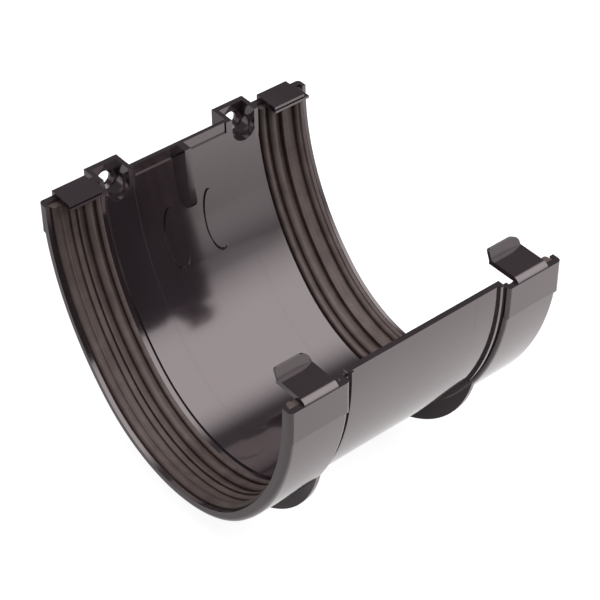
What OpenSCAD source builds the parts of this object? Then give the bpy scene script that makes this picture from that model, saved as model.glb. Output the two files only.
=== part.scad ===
// Gutter union: a moulded bracket that joins two lengths of deep elliptical gutter.
// X runs along the gutter, +Y points back to the fascia board and +Z up.
// The origin is the middle of the mouth, level with the tops of the four clips.
// Every wall follows one oval of three arcs, so a wall is a distance out from that oval.

/* [Trough] */
// Inside width of the trough at its widest level
trough_w = 123.6; // [116:0.2:132]
// Inside depth of the trough below the clip tops
trough_depth = 81.4; // [77:0.2:86]
// Depth of the widest level, above which the walls close in a little
widest_drop = 3; // [0:0.1:6]
// Degrees by which the trough's middle line leans to the front as it goes down
trough_lean = 0.7; // [0:0.1:1.5]
// Overall length along the gutter
union_len = 111; // [100:0.5:130]
// Wall of the plain middle stretch
wall = 2.1; // [1.8:0.1:2.6]
// Height of the front edge above the clip tops
front_edge_z = 0; // [0:0.1:1]
// Drop of the back edge and the lugs below the clip tops
back_edge_drop = 1.8; // [1.2:0.1:2.4]
// Drop of the socket rims below the clip tops
rim_drop = 1.5; // [1:0.1:1.7]

/* [Sockets] */
// Length of each socket, from its shoulder to the end face
socket_len = 23.1; // [21:0.1:27]
// How far the socket floor lies outside the trough's inner face
socket_step = 2; // [1.6:0.1:2.4]
// Wall of the socket outside the seal
socket_wall = 2.2; // [1.8:0.1:2.6]
// Thickness of the shoulder wall beside the seal
shoulder_wall = 2; // [1.7:0.1:2.6]
// Thickness of the end flange beside the seal
flange_wall = 1.5; // [1.2:0.1:2]
// Setback of the end flange's inner edge from the trough's inner face
flange_setback = 0.3; // [0.1:0.1:0.8]
// Radius of the rounded edge at the end of the socket
end_round = 1.9; // [1:0.1:2]
// Radius of the rounded edge at the shoulder of the socket
shoulder_round = 1.6; // [1:0.1:1.8]
// Distance from the middle plane to the faces of the flat collar panels
panel_y = 66.1; // [66.1:0.1:68]
// Height of the flat collar panels
panel_h = 13.2; // [10:0.1:18]
// Radius of the panel's rounded edges
panel_round = 1.5; // [0.5:0.1:1.8]
// Radius of the panel's rounded lower edge
panel_foot = 1.2; // [0.3:0.1:1.6]

/* [Shoulder rib] */
// Thickness of the low rib beside the shoulder
rib_t = 1; // [0.6:0.1:1.2]
// Height of that rib above the trough's outer face
rib_h = 0.9; // [0.5:0.1:1.3]
// Gap between the rib and the shoulder
rib_gap = 1.4; // [1:0.1:1.8]
// Depth of the groove inside, between the trough and the seal
lip_groove = 0.9; // [0.5:0.1:1.1]

/* [Seals] */
// Thickness of the seal's backing strip
seal_base = 1.2; // [0.8:0.1:1.5]
// Height of the sealing ridges above the trough's inner face
ridge_rise = 1; // [0.6:0.1:1.6]
// Width of the lip beside the shoulder
lip_w = 2; // [1.4:0.1:2.4]
// Width of the main sealing ridge
ridge_w = 3; // [2:0.1:3.4]
// Width of the thin wiping fin
wiper_w = 0.8; // [0.6:0.1:1.2]
// Width of the land behind the wiping fin
land_w = 2.4; // [1.5:0.1:3]
// Width of the broad crown beside the end flange
crown_w = 4; // [3:0.1:4.6]
// Clearance all round between a seal and its channel
seal_fit = 0.1; // [0.05:0.05:0.2]
// Gap between a clip, ledge or rim and the end of the seal beside it
seal_end_gap = 0.3; // [0.2:0.1:1]
// Depth at which the seal's front end stops, beside and under the clip
seal_front_drop = 5; // [3:0.1:8]

/* [Front clips] */
// Width of each front clip along the gutter
clip_w = 13; // [10:0.1:15]
// Distance from the end face to the near side of a clip
clip_inset = 5.7; // [4.5:0.1:6.5]
// Reach of a front clip in from the face of the panel
clip_reach = 13.9; // [9:0.1:15]
// Thickness of a clip plate
clip_t = 1.9; // [1.8:0.1:2.4]
// Radius of the rounded outer edge of a front clip
clip_round = 2.8; // [1.6:0.1:3]
// Rise of the thumb tab above the clip top
tab_rise = 3.1; // [2.6:0.1:6]
// Lean of the thumb tab inwards over its rise
tab_lean = 1.3; // [0.5:0.1:3]
// Thickness of the thumb tab
tab_t = 1.3; // [1:0.1:1.8]
// Radius of the thumb tab's rounded corner
tab_round = 3.2; // [1:0.1:3.6]

/* [Back clips] */
// Width of each back clip along the gutter
back_clip_w = 13.2; // [11:0.1:15]
// Distance from the middle plane to the back face of the back clips
back_clip_y = 66.4; // [66.3:0.1:68.5]
// Depth of a back clip from its back face to its front edge
back_clip_d = 10.4; // [8:0.1:12]
// Thickness of a back clip's plate
plate_t = 1; // [0.8:0.1:1.3]
// Slot between the plate and the ledge under it
slot_h = 0.5; // [0.4:0.1:0.9]
// Thickness of the ledge under a back clip
ledge_t = 0.9; // [0.8:0.1:1.4]
// How far the ledge stands forward of the clip
ledge_lead = 0.3; // [0.1:0.1:2]
// How far the ledge runs on past the right end of its clip
ledge_over = 2; // [0.5:0.1:3]

/* [Fixing lugs] */
// Distance between the two screw holes
screw_pitch = 54.2; // [50:0.2:56]
// Diameter of the screw holes
screw_d = 5.7; // [4.5:0.1:6]
// Depth of the screw holes below the clip tops
screw_z = 8.3; // [7.5:0.1:10]
// Width of each lug along the gutter
lug_w = 13.4; // [12.5:0.1:15]
// Distance from the middle plane to the back face of the lugs
lug_y = 71.4; // [70:0.1:76]
// Depth of material below the screw recess
lug_floor = 3.7; // [1:0.1:4.5]
// Width of the open screw recess
recess_w = 10; // [9:0.1:11]
// How far the round foot of the recess sits above the screw hole
recess_rise = 1; // [0:0.1:1.4]
// Thickness of the lug behind the recess
lug_back = 2.2; // [1.8:0.1:3]

/* [Back wall] */
// Thickness of the centre fin on the back wall
fin_t = 2.6; // [1.2:0.1:3]
// Reach of the fin in from the back wall
fin_reach = 4; // [2:0.1:5]
// Depth of the fin's rounded foot
fin_depth = 27; // [20:0.5:34]
// Length of the rebate along the inside of the back edge
rebate_len = 39; // [30:0.5:41]
// Depth of the rebate below the back edge
rebate_h = 4.2; // [1:0.1:5]
// How far the rebate cuts into the wall
rebate_cut = 0.5; // [0.3:0.1:0.8]
// Diameter of the two ejector pads
pad_d = 8; // [6:0.1:11]
// Distance between the centres of the two pads
pad_pitch = 17.2; // [13:0.1:22]
// Distance from the middle plane to the centre of each pad
pad_y = 54.7; // [50:0.1:57]
// Height of the pads above the inner wall
pad_rise = 0.6; // [0.2:0.1:0.8]

/* [Stiffening webs] */
// Radius of the round web under each shoulder
web_r = 53.6; // [51:0.1:55]
// Depth of the web's bottom below the clip tops
web_depth = 93.8; // [91:0.1:97]
// Thickness of the web
web_t = 1.5; // [1.3:0.1:2.2]
// Step from the shoulder's face back to the web's face
web_set = 0.3; // [0.2:0.1:1]

/* [Hidden] */
$fn = 96;
steps = 4;
plastic = [0.17, 0.13, 0.14];
rubber = [0.27, 0.24, 0.22];

half_w = trough_w / 2;
half_len = union_len / 2;
turn_angle = 45;
fine = 1000;
centre_gap = round(fine * (trough_depth - widest_drop - half_w) / (sqrt(2) - 1)) / fine;
side_shift = centre_gap / sqrt(2);
bottom_r = round(fine * (half_w + side_shift - centre_gap)) / fine;
side_r = bottom_r + centre_gap;
bottom_z = round(fine * (side_shift + widest_drop)) / fine;
above = 5;

shoulder_x = half_len - socket_len;
channel_in = shoulder_x + shoulder_wall;
channel_out = half_len - flange_wall;
socket_out = socket_step + socket_wall;
rib_x = shoulder_x - rib_gap;
lip_x = rib_x + 0.9;
clip_x = half_len - clip_inset - clip_w / 2;
tab_w = clip_w - 0.2;
root_y = half_w + socket_step + 0.4;
ledge_z = -plate_t - slot_h;
recess_z = screw_z - recess_rise;

// Points of an arc, from one angle to another
function arc_points(centre, r, from, to) =
    [for (i = [0 : steps]) let (a = from + (to - from) * i / steps) centre + r * [cos(a), sin(a)]];

// A list of section points with its mirror image across the middle of the union
function both_ways(half) =
    concat([for (p = half) [p[0], p[1]]], [for (i = [len(half) - 1 : -1 : 0]) [half[i][0], -half[i][1]]]);

// Distance from the middle plane to a wall at a depth below the clip tops
function wall_y(depth, out = 0) = sqrt(pow(side_r + out, 2) - pow(depth - widest_drop, 2)) - side_shift;

// Half of the moulding's section: x is the distance out from the oval, y the distance along the gutter
body_half = concat(
    [[0, lip_x], [lip_groove, lip_x], [lip_groove, channel_in], [socket_step, channel_in]],
    [[socket_step, channel_out], [flange_setback, channel_out], [flange_setback, half_len]],
    arc_points([socket_out - end_round, half_len - end_round], end_round, 90, 0),
    arc_points([socket_out - shoulder_round, shoulder_x + shoulder_round], shoulder_round, 0, -90),
    [[wall, shoulder_x], [wall, rib_x], [wall + rib_h, rib_x], [wall + rib_h, rib_x - rib_t]],
    [[wall, rib_x - rib_t]]);

// Sweep a section round the three arcs of the oval, each starting where the side arcs end
module sweep() {
    rotate([90, 0, 90])
        rotate(-trough_lean)
            translate([0, -bottom_z]) {
                rotate(180 + turn_angle)
                    rotate_extrude(angle = 180 - 2 * turn_angle)
                        translate([bottom_r, 0]) children();
                for (face = [0, 1])
                    mirror([face, 0])
                        rotate(-turn_angle)
                            translate([-centre_gap, 0])
                                rotate_extrude(angle = turn_angle + above)
                                    translate([side_r, 0]) children();
            }
}

// A block between two corners
module block(low, high) {
    translate(low) cube(high - low);
}

// A block and its twin at the other end of the union
module twin_block(low, high) {
    block(low, high);
    block([-high[0], low[1], low[2]], [-low[0], high[1], high[2]]);
}

// An outline in the plane across the gutter, as thick as width and centred on x
module across(x, width) {
    translate([x - width / 2, 0, 0])
        rotate([90, 0, 90])
            linear_extrude(width) children();
}

// Trim the swept shell to its heights: front edge, back edge and socket rims
module trims() {
    far = union_len;
    top = 30;
    block([-far, -far, front_edge_z], [far, far, top]);
    block([-far, 0, -back_edge_drop], [far, far, top]);
    twin_block([rib_x + rib_gap / 2, -far, -rim_drop], [far, 0, top]);
    block([-rebate_len / 2, 0, -back_edge_drop - rebate_h], [rebate_len / 2, half_w + rebate_cut, top]);
}

// Outline of the socket's outside, just inside its surface
module socket_core() {
    inside = socket_out - 0.8;
    turn_z = -bottom_z - bottom_r * sin(turn_angle);
    translate([0, -bottom_z]) circle(bottom_r + inside);
    intersection() {
        translate([-side_shift, -widest_drop]) circle(side_r + inside - 0.1);
        translate([side_shift, -widest_drop]) circle(side_r + inside - 0.1);
        translate([-half_w - 10, turn_z]) square([trough_w + 20, 80]);
    }
}

// Round web under a shoulder, standing out from the socket
module web(side) {
    across(side * (shoulder_x + web_set + web_t / 2), web_t)
        difference() {
            translate([0, web_r - web_depth]) circle(web_r);
            rotate(-trough_lean) socket_core();
            translate([-web_r - 1, -46]) square([2 * web_r + 2, 80]);
        }
}

// Flat panel on the front or back of a socket, with rounded edges
module panel(side, face) {
    r = panel_round;
    back = root_y - panel_y;
    high = panel_h + rim_drop - (face > 0 ? back_edge_drop : rim_drop);
    translate([side * (shoulder_x + half_len) / 2, face * panel_y, high - panel_h - rim_drop])
        mirror([0, face > 0 ? 0 : 1, 0])
            intersection() {
                translate([0, 0, -high])
                    linear_extrude(high)
                        polygon(concat(
                            [[socket_len / 2, back]],
                            arc_points([socket_len / 2 - r, -r], r, 0, 90),
                            arc_points([r - socket_len / 2, -r], r, 90, 180),
                            [[-socket_len / 2, back]]));
                translate([0, 1, 0])
                    rotate([90, 0, 0])
                        linear_extrude(1 - back + 1)
                            polygon(concat(
                                [[socket_len / 2 + 1, 1], [-socket_len / 2 - 1, 1]],
                                arc_points([r - socket_len / 2, r - high], r, 180, 270),
                                arc_points([socket_len / 2 - r, r - high], r, 270, 360)));
                across(0, socket_len + 4)
                    polygon(concat(
                        [[back - 1, 1], [0, 1]],
                        arc_points([-panel_foot, panel_foot - high], panel_foot, 360, 270),
                        [[back - 1, -high]]));
            }
}

// Front clip: a plate over the gutter's edge, with a rounded outer edge and a thumb tab
module front_clip(side) {
    root = 5;
    tip_y = clip_reach - panel_y;
    across(side * clip_x, clip_w)
        polygon(concat(
            [[tip_y, -clip_t], [tip_y, 0]],
            arc_points([clip_round - panel_y, -clip_round], clip_round, 90, 180),
            [[-panel_y, -root], [-root_y, -root], [-root_y, -clip_t]]));
    translate([side * clip_x, tip_y, -clip_t / 2])
        rotate([90 - atan(tab_lean / tab_rise), 0, 0])
            linear_extrude(tab_t) tab_outline();
}

// Outline of the thumb tab, with one corner well rounded and one nearly square
module tab_outline() {
    high = clip_t / 2 + norm([tab_rise, tab_lean]);
    small = 0.8;
    polygon(concat(
        [[-tab_w / 2, 0], [tab_w / 2, 0]],
        arc_points([tab_w / 2 - tab_round, high - tab_round], tab_round, 0, 90),
        arc_points([small - tab_w / 2, high - small], small, 90, 180)));
}

// Back clip: a plate over the gutter's back edge, with a thin ledge under it
module back_clip(side) {
    front = back_clip_y - back_clip_d;
    x0 = side * clip_x - back_clip_w / 2;
    x1 = x0 + back_clip_w;
    low = ledge_z - ledge_t;
    block([x0, front, -plate_t], [x1, back_clip_y, 0]);
    block([x0, front - ledge_lead, low], [x1 + ledge_over, root_y + 0.5, ledge_z]);
    block([x0, root_y, low], [x1, back_clip_y, 0]);
}

// Lug behind the back wall for one fascia screw
module lug(side) {
    low = -recess_z - recess_w / 2 - lug_floor;
    x0 = side * screw_pitch / 2 - lug_w / 2;
    block([x0, half_w + 0.2, low], [x0 + lug_w, lug_y, -back_edge_drop]);
}

// Open recess for the screw's head and driver, then the countersunk hole
module screw_way(side) {
    reach = 8;
    floor_y = lug_y - lug_back;
    translate([side * screw_pitch / 2, floor_y, -screw_z])
        rotate([-90, 0, 0]) {
            cylinder(h = lug_back + 1, d = screw_d);
            translate([0, 0, -0.05]) cylinder(h = lug_back / 2, d1 = screw_d + lug_back, d2 = screw_d);
        }
    translate([side * screw_pitch / 2, half_w - reach, -recess_z])
        rotate([-90, 0, 0]) cylinder(h = floor_y - half_w + reach, d = recess_w);
    translate([side * screw_pitch / 2 - recess_w / 2, half_w - reach, -recess_z])
        cube([recess_w, floor_y - half_w + reach, screw_z + 5]);
}

// Centre fin that follows the back wall down to a rounded foot
module fin() {
    low = fin_depth - fin_reach;
    fall = low - back_edge_drop;
    across(0, fin_t)
        polygon(concat(
            [[wall_y(back_edge_drop) + 1.2, -back_edge_drop]],
            [for (i = [0 : steps - 1]) let (d = back_edge_drop + fall * i / steps) [wall_y(d) - fin_reach, -d]],
            arc_points([wall_y(low), -low], fin_reach, 180, 270),
            [[wall_y(fin_depth) + 1.3, -fin_depth]]));
}

// Pads left on the wall by two upright ejector pins
module pads() {
    intersection() {
        sweep() translate([-pad_rise, -pad_pitch]) square([pad_rise + 1, 2 * pad_pitch]);
        for (end = [-1, 1])
            translate([end * pad_pitch / 2, pad_y, -trough_depth]) cylinder(h = trough_depth - 4, d = pad_d);
    }
}

module union_body() {
    color(plastic)
        difference() {
            union() {
                difference() {
                    sweep() polygon(both_ways(body_half));
                    trims();
                }
                for (side = [-1, 1]) {
                    web(side);
                    panel(side, 1);
                    panel(side, -1);
                    front_clip(side);
                    back_clip(side);
                    lug(side);
                }
                fin();
                pads();
            }
            for (side = [-1, 1]) screw_way(side);
        }
}

// One ridge of a seal's section: a bar with a rounded crest
module ridge(at, width, rise, round_r) {
    foot = socket_step - seal_fit - seal_base / 2;
    polygon(concat(
        [[foot, at + width], [foot, at]],
        arc_points([round_r - rise, at + round_r], round_r, 270, 180),
        arc_points([round_r - rise, at + width - round_r], round_r, 180, 90)));
}

// Section of a seal: a backing strip, a lip, a main ridge, a wiping fin, a land and a crown
module seal_section() {
    floor_t = socket_step - seal_fit;
    x0 = channel_in + seal_fit;
    x1 = channel_out - seal_fit;
    main_x = x0 + lip_w + 1.5;
    wiper_x = main_x + ridge_w + 2.4;
    crown_x = x1 - crown_w - 0.5;
    dent = 0.5;
    difference() {
        union() {
            translate([floor_t - seal_base, x0]) square([seal_base, x1 - x0]);
            ridge(x0, lip_w, ridge_rise - 0.3, lip_w * 0.4);
            ridge(main_x, ridge_w, ridge_rise, ridge_w * 0.4);
            ridge(wiper_x, wiper_w, ridge_rise, wiper_w * 0.4);
            ridge(wiper_x + wiper_w, land_w, ridge_rise - 0.8, land_w * 0.2);
            ridge(crown_x, crown_w, ridge_rise, 1);
        }
        translate([-ridge_rise - dent / 2, crown_x + crown_w * 0.4]) circle(dent * 1.6, $fn = 12);
    }
}

// One seal, lying in the channel of its socket
module seal(side) {
    far = union_len;
    clear_x = clip_x + clip_w / 2 + seal_end_gap;
    back_z = ledge_z - ledge_t - seal_end_gap;
    color(rubber)
        difference() {
            sweep() mirror([0, side > 0 ? 0 : 1]) seal_section();
            block([-clear_x, -far, -seal_front_drop], [clear_x, 0, 30]);
            block([-far, -far, -rim_drop - seal_end_gap], [far, 0, 30]);
            block([-far, 0, back_z], [far, far, 30]);
        }
}

union_body();
seal(-1);  // left_seal
seal(1);  // right_seal
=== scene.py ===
import math

import bmesh
import bpy
from mathutils import Matrix, Vector


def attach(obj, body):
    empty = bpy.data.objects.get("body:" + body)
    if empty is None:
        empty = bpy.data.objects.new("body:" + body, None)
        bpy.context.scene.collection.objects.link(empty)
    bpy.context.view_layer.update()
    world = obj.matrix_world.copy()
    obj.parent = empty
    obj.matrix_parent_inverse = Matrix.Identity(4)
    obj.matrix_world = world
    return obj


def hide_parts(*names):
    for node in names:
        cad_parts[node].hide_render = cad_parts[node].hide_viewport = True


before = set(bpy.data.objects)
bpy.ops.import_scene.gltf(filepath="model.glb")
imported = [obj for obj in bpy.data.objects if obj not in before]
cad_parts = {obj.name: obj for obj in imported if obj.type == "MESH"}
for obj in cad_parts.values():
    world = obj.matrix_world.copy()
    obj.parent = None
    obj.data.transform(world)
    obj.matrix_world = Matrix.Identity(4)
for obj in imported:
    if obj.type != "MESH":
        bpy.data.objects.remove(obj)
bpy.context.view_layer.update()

MM = 0.001

# Sizes of the finish, in metres and radians

BODY_EDGE_BREAK = 0.22 * MM
BODY_SHARP_FROM = math.radians(28)
SEAL_SHARP_FROM = math.radians(40)
SAME_POINT = 0.002 * MM
NO_LENGTH = 0.001 * MM
SAME_PLANE = math.radians(0.3)
INSERT_LINE_X = 20.6 * MM
INSERT_LINE_HALF = 0.13 * MM
INSERT_LINE_RISE = 0.12 * MM
FLOW_WAVE_RISE = 0.4 * MM
RUBBER_GRAIN_RISE = 0.1 * MM
GROOVE_REACH = 3 * MM

# Light of the studio, where 1 is white

TABLE_Z = -93.8 * MM
TABLE_REACH = 0.6
TABLE_COLOUR = "#a6a6a6"
TABLE_GLOW = 0.9
TABLE_GLOW_IN_GLOSS = 0.85
# Painted shade: the table's glow in gloss dims for rays heading left, standing in for the shadow under the
# object
TABLE_GLOW_IN_PAINTED_SHADE = 0.06
TABLE_PAINTED_SHADE_SIDE = (1.0, 0.4, -0.5)
AIR_FILL = 0.25
ROOM_LEVEL = 0.1
BRIGHT_LEVEL = 1.4
BRIGHT_SIDE = (0.45, -0.4, 0.8)
BRIGHT_FROM = 0.66
BRIGHT_FULL = 0.95
HORIZON_LEVEL = 0.55
HORIZON_FROM = -0.02
HORIZON_TO = 0.42
LAMP_AIM = (0, 0, -0.04)

# Camera matched to the photo

CAMERA_PLACE = (-310.7 * MM, -386.5 * MM, 395.4 * MM)
CAMERA_RIGHT = (0.7738, -0.6334, -0.0069)
CAMERA_UP = (0.4172, 0.5015, 0.7579)
CAMERA_LENS = 117.56
CAMERA_SENSOR = 36


# Colours and nodes


def linear(hex_colour):
    """A hex colour as the shader wants it."""
    parts = [int(hex_colour[i:i + 2], 16) / 255 for i in (1, 3, 5)]
    return tuple(c / 12.92 if c <= 0.04045 else ((c + 0.055) / 1.055) ** 2.4 for c in parts) + (1.0,)


def node(tree, kind, place, links=(), **values):
    """Adds one node, sets its properties and sockets, and links its inputs."""
    made = tree.nodes.new(kind)
    made.location = place
    for name, value in values.items():
        if name in made.inputs:
            made.inputs[name].default_value = value
        else:
            setattr(made, name, value)
    for socket, source in links:
        tree.links.new(source, made.inputs[socket])
    return made


def empty_tree(owner):
    """The node tree of a material or a world, with nothing in it."""
    owner.use_nodes = True
    owner.node_tree.nodes.clear()
    return owner.node_tree


def shader(name):
    """A new material with its output node and shader."""
    made = bpy.data.materials.new(name)
    tree = empty_tree(made)
    end = node(tree, "ShaderNodeOutputMaterial", (600, 0))
    surface = node(tree, "ShaderNodeBsdfPrincipled", (300, 0))
    tree.links.new(surface.outputs["BSDF"], end.inputs["Surface"])
    return made, tree, surface


def ramp(tree, source, place, stops):
    """A colour ramp with its stops given as place and hex colour."""
    made = node(tree, "ShaderNodeValToRGB", place, [("Fac", source)])
    points = made.color_ramp.elements
    while len(points) < len(stops):
        points.new(0.5)
    for point, (at, colour) in zip(points, stops):
        point.position = at
        point.color = linear(colour)
    return made.outputs["Color"]


def spread(tree, source, place, to_low, to_high, low=0.0, high=1.0, soft=False):
    """Maps a value from one range to another, in a straight line or with soft ends."""
    made = node(tree, "ShaderNodeMapRange", place, [("Value", source)])
    made.interpolation_type = "SMOOTHSTEP" if soft else "LINEAR"
    made.inputs["From Min"].default_value = low
    made.inputs["From Max"].default_value = high
    made.inputs["To Min"].default_value = to_low
    made.inputs["To Max"].default_value = to_high
    return made.outputs["Result"]


def noise(tree, vector, place, scale, detail, roughness):
    """A noise value of one grain size."""
    made = node(tree, "ShaderNodeTexNoise", place, [("Vector", vector)],
                Scale=scale, Detail=detail, Roughness=roughness)
    return made.outputs["Fac"]


def product(tree, first, second, place):
    """Two values multiplied."""
    made = node(tree, "ShaderNodeMath", place, [(0, first), (1, second)], operation="MULTIPLY")
    return made.outputs["Value"]


def larger(tree, first, second, place):
    """The larger of two values."""
    made = node(tree, "ShaderNodeMath", place, [(0, first), (1, second)], operation="MAXIMUM")
    return made.outputs["Value"]


def facing(tree, vector, direction, place):
    """How far a vector points in a direction."""
    made = node(tree, "ShaderNodeVectorMath", place, [(0, vector)], operation="DOT_PRODUCT")
    made.inputs[1].default_value = direction
    return made.outputs["Value"]


def gloss_pvc(name):
    """PVC-U injected into a polished tool.

    It gives the eye a deep brown black with a crisp, slightly wavy mirror of the room, and a
    hair line where the insert of the tool met the cavity.
    """
    made, tree, surface = shader(name)
    place = node(tree, "ShaderNodeTexCoord", (-1100, 0)).outputs["Object"]
    flow = node(tree, "ShaderNodeMapping", (-900, 0), [("Vector", place)], Scale=(60, 25, 25))
    wave = noise(tree, flow.outputs["Vector"], (-700, 120), 1.0, 2.0, 0.4)
    grain = noise(tree, place, (-700, -160), 2600.0, 3.0, 0.6)
    tone = ramp(tree, wave, (-400, 200), [(0.3, "#2a2328"), (0.7, "#322a30")])
    sheen = spread(tree, grain, (-400, -60), 0.07, 0.12)
    ripple = node(tree, "ShaderNodeBump", (-100, -260), [("Height", wave)],
                  Strength=0.12, Distance=FLOW_WAVE_RISE)
    along = node(tree, "ShaderNodeSeparateXYZ", (-900, -420), [(0, place)]).outputs["X"]
    aside = node(tree, "ShaderNodeMath", (-700, -420), [(0, along)], operation="ABSOLUTE")
    insert = node(tree, "ShaderNodeMath", (-500, -420), [(0, aside.outputs["Value"])], operation="COMPARE")
    insert.inputs[1].default_value = INSERT_LINE_X
    insert.inputs[2].default_value = INSERT_LINE_HALF
    line = node(tree, "ShaderNodeBump", (100, -380), [
        ("Height", insert.outputs["Value"]), ("Normal", ripple.outputs["Normal"])],
        Strength=0.3, Distance=INSERT_LINE_RISE)
    tree.links.new(tone, surface.inputs["Base Color"])
    tree.links.new(sheen, surface.inputs["Roughness"])
    tree.links.new(line.outputs["Normal"], surface.inputs["Normal"])
    surface.inputs["IOR"].default_value = 2.7
    surface.inputs["Specular Tint"].default_value = linear("#fff1f2")
    return made


def matt_rubber(name):
    """EPDM rubber moulded in a spark-eroded tool.

    It gives the eye a soft warm grey without a mirror, cloudy in places, with a fine orange peel
    and painted shade down in each groove, where occlusion darkens the colour.
    """
    made, tree, surface = shader(name)
    place = node(tree, "ShaderNodeTexCoord", (-1100, 0)).outputs["Object"]
    grain = noise(tree, place, (-700, 120), 1500.0, 4.0, 0.6)
    bloom = noise(tree, place, (-700, -160), 140.0, 3.0, 0.55)
    tone = ramp(tree, bloom, (-400, 200), [(0.3, "#584b49"), (0.72, "#6e615e")])
    # Painted shade: ambient occlusion darkens the base colour down in each groove.
    painted_shade_occlusion = node(tree, "ShaderNodeAmbientOcclusion", (-400, 420), samples=8, Distance=GROOVE_REACH)
    painted_groove_shade = ramp(tree, painted_shade_occlusion.outputs["AO"], (-200, 420), [(0.3, "#b3a298"), (0.85, "#ffffff")])
    shaded = node(tree, "ShaderNodeVectorMath", (60, 300), [(0, tone), (1, painted_groove_shade)], operation="MULTIPLY")
    worn = spread(tree, bloom, (-400, -60), 0.45, 0.6)
    peel = node(tree, "ShaderNodeBump", (-100, -260), [("Height", grain)],
                Strength=0.35, Distance=RUBBER_GRAIN_RISE)
    tree.links.new(shaded.outputs["Vector"], surface.inputs["Base Color"])
    tree.links.new(worn, surface.inputs["Roughness"])
    tree.links.new(peel.outputs["Normal"], surface.inputs["Normal"])
    return made


BODY_PLASTIC = gloss_pvc("gloss_moulded_pvc")
SEAL_RUBBER = matt_rubber("matt_moulded_epdm")


# Pieces


def dressed(name, cad_name, finish, sharp_from, edge_width=0.0):
    """A merged copy of a CAD node, smooth on its curves, with its sharp edges broken if asked."""
    mesh = bpy.data.meshes.new(name)
    work = bmesh.new()
    work.from_mesh(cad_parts[cad_name].data)
    bmesh.ops.remove_doubles(work, verts=work.verts, dist=SAME_POINT)
    bmesh.ops.dissolve_degenerate(work, edges=work.edges, dist=NO_LENGTH)
    bmesh.ops.dissolve_limit(work, angle_limit=SAME_PLANE, verts=work.verts, edges=work.edges)
    bmesh.ops.recalc_face_normals(work, faces=work.faces)
    for face in work.faces:
        face.smooth = True
        face.material_index = 0
    for edge in work.edges:
        edge.smooth = len(edge.link_faces) != 2 or edge.calc_face_angle(0) <= sharp_from
    work.to_mesh(mesh)
    work.free()
    mesh.materials.append(finish)
    piece = bpy.data.objects.new(name, mesh)
    bpy.context.scene.collection.objects.link(piece)
    if edge_width:
        edge_break = piece.modifiers.new("edge_break", "BEVEL")
        edge_break.width = edge_width
        edge_break.segments = 2
        edge_break.limit_method = "ANGLE"
        edge_break.angle_limit = sharp_from
    steady = piece.modifiers.new("flat_faces_first", "WEIGHTED_NORMAL")
    steady.keep_sharp = True
    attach(piece, "root")
    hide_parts(cad_name)


dressed("moulded_body", "union_body", BODY_PLASTIC, BODY_SHARP_FROM, BODY_EDGE_BREAK)
dressed("left_ribbed_seal", "left_seal", SEAL_RUBBER, SEAL_SHARP_FROM)
dressed("right_ribbed_seal", "right_seal", SEAL_RUBBER, SEAL_SHARP_FROM)


# Studio


def table(name):
    """A pale table that shows white to the camera and keeps the object's shadow.

    In gloss it is bright to the front and right, and dim to the left, as in the photo; the dim
    side is painted shade, standing in for the object's shadow seen in reflection.
    """
    mesh = bpy.data.meshes.new(name)
    work = bmesh.new()
    bmesh.ops.create_grid(work, x_segments=1, y_segments=1, size=TABLE_REACH)
    bmesh.ops.translate(work, verts=work.verts, vec=(0, 0, TABLE_Z))
    work.to_mesh(mesh)
    work.free()
    made = bpy.data.objects.new(name, mesh)
    bpy.context.scene.collection.objects.link(made)
    finish = bpy.data.materials.new("pale_table")
    tree = empty_tree(finish)
    end = node(tree, "ShaderNodeOutputMaterial", (600, 0))
    lit = node(tree, "ShaderNodeBsdfDiffuse", (200, 100), Color=linear(TABLE_COLOUR))
    path = node(tree, "ShaderNodeLightPath", (-600, 0)).outputs
    seen = spread(tree, path["Is Camera Ray"], (-300, 100), 0.0, TABLE_GLOW)
    mirrored = larger(tree, path["Is Glossy Ray"], path["Is Transmission Ray"], (-400, -100))
    # Painted shade: the gloss glow dims towards the left, standing in for the shadow under the object
    towards_eye = node(tree, "ShaderNodeNewGeometry", (-1000, -300)).outputs["Incoming"]
    towards_painted_shade = facing(tree, towards_eye, TABLE_PAINTED_SHADE_SIDE, (-800, -300))
    gloss_glow_with_painted_shade = spread(tree, towards_painted_shade, (-600, -300), TABLE_GLOW_IN_GLOSS, TABLE_GLOW_IN_PAINTED_SHADE,
                   low=-1.0, high=-0.1)
    mirrored = product(tree, mirrored, gloss_glow_with_painted_shade, (-200, -100))
    strength = larger(tree, seen, mirrored, (0, -100))
    glow = node(tree, "ShaderNodeEmission", (200, -100), [("Strength", strength)], Color=(1, 1, 1, 1))
    both = node(tree, "ShaderNodeAddShader", (400, 0), [
        (0, lit.outputs["BSDF"]), (1, glow.outputs["Emission"])])
    tree.links.new(both.outputs["Shader"], end.inputs["Surface"])
    mesh.materials.append(finish)


def softbox(name, place, width, height, watts):
    """A rectangular lamp turned towards the part, kept out of the gloss."""
    data = bpy.data.lights.new(name, "AREA")
    data.shape = "RECTANGLE"
    data.size = width
    data.size_y = height
    data.energy = watts
    made = bpy.data.objects.new(name, data)
    bpy.context.scene.collection.objects.link(made)
    made.location = place
    made.rotation_euler = (Vector(LAMP_AIM) - Vector(place)).to_track_quat("-Z", "Y").to_euler()
    made.visible_glossy = False


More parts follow.
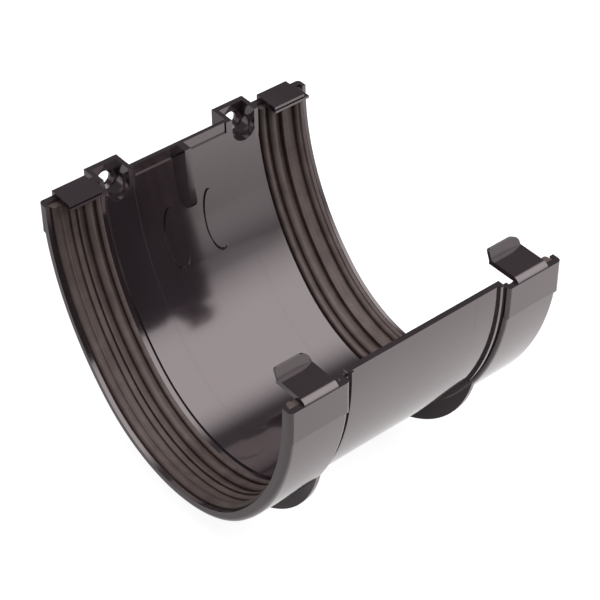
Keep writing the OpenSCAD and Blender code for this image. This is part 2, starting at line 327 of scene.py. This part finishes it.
def studio_air():
    """Even air for the fill, white for the camera, and for gloss a bright wall in a dim room."""
    world = bpy.data.worlds.new("studio_air")
    bpy.context.scene.world = world
    tree = empty_tree(world)
    end = node(tree, "ShaderNodeOutputWorld", (900, 0))
    air = node(tree, "ShaderNodeBackground", (300, 200), Color=(1, 1, 1, 1), Strength=AIR_FILL)
    towards = node(tree, "ShaderNodeTexCoord", (-500, -300)).outputs["Generated"]
    aim = facing(tree, towards, Vector(BRIGHT_SIDE).normalized(), (-300, -300))
    wall = spread(tree, aim, (-100, -300), ROOM_LEVEL, BRIGHT_LEVEL,
                  low=BRIGHT_FROM, high=BRIGHT_FULL, soft=True)
    height = node(tree, "ShaderNodeSeparateXYZ", (-300, -500), [(0, towards)]).outputs["Z"]
    horizon = spread(tree, height, (-100, -560), HORIZON_LEVEL, 0.0,
                     low=HORIZON_FROM, high=HORIZON_TO, soft=True)
    path = node(tree, "ShaderNodeLightPath", (-100, 300)).outputs
    backdrop = larger(tree, wall, horizon, (100, -460))
    shown = larger(tree, backdrop, path["Is Camera Ray"], (300, -300))
    room = node(tree, "ShaderNodeBackground", (300, -100), [("Strength", shown)], Color=(1, 1, 1, 1))
    direct = larger(tree, path["Is Camera Ray"], path["Is Glossy Ray"], (100, 400))
    direct = larger(tree, direct, path["Is Transmission Ray"], (300, 400))
    pick = node(tree, "ShaderNodeMixShader", (600, 0), [
        (0, direct), (1, air.outputs["Background"]), (2, room.outputs["Background"])])
    tree.links.new(pick.outputs["Shader"], end.inputs["Surface"])


def photo_camera(name):
    """The camera that saw the photo."""
    data = bpy.data.cameras.new(name)
    data.lens = CAMERA_LENS
    data.sensor_width = CAMERA_SENSOR
    data.clip_start = 10 * MM
    made = bpy.data.objects.new(name, data)
    bpy.context.scene.collection.objects.link(made)
    right = Vector(CAMERA_RIGHT)
    up = Vector(CAMERA_UP)
    turn = Matrix((right, up, right.cross(up))).transposed().to_4x4()
    made.matrix_world = Matrix.Translation(Vector(CAMERA_PLACE)) @ turn
    bpy.context.scene.camera = made


table("table")
studio_air()
softbox("front_softbox", (0.75, -0.75, 0.85), 0.8, 0.8, 9.0)
softbox("top_softbox", (-0.1, 0.1, 1.1), 0.9, 0.7, 6.0)
photo_camera("photo_camera")

bpy.context.scene.view_settings.view_transform = "Standard"
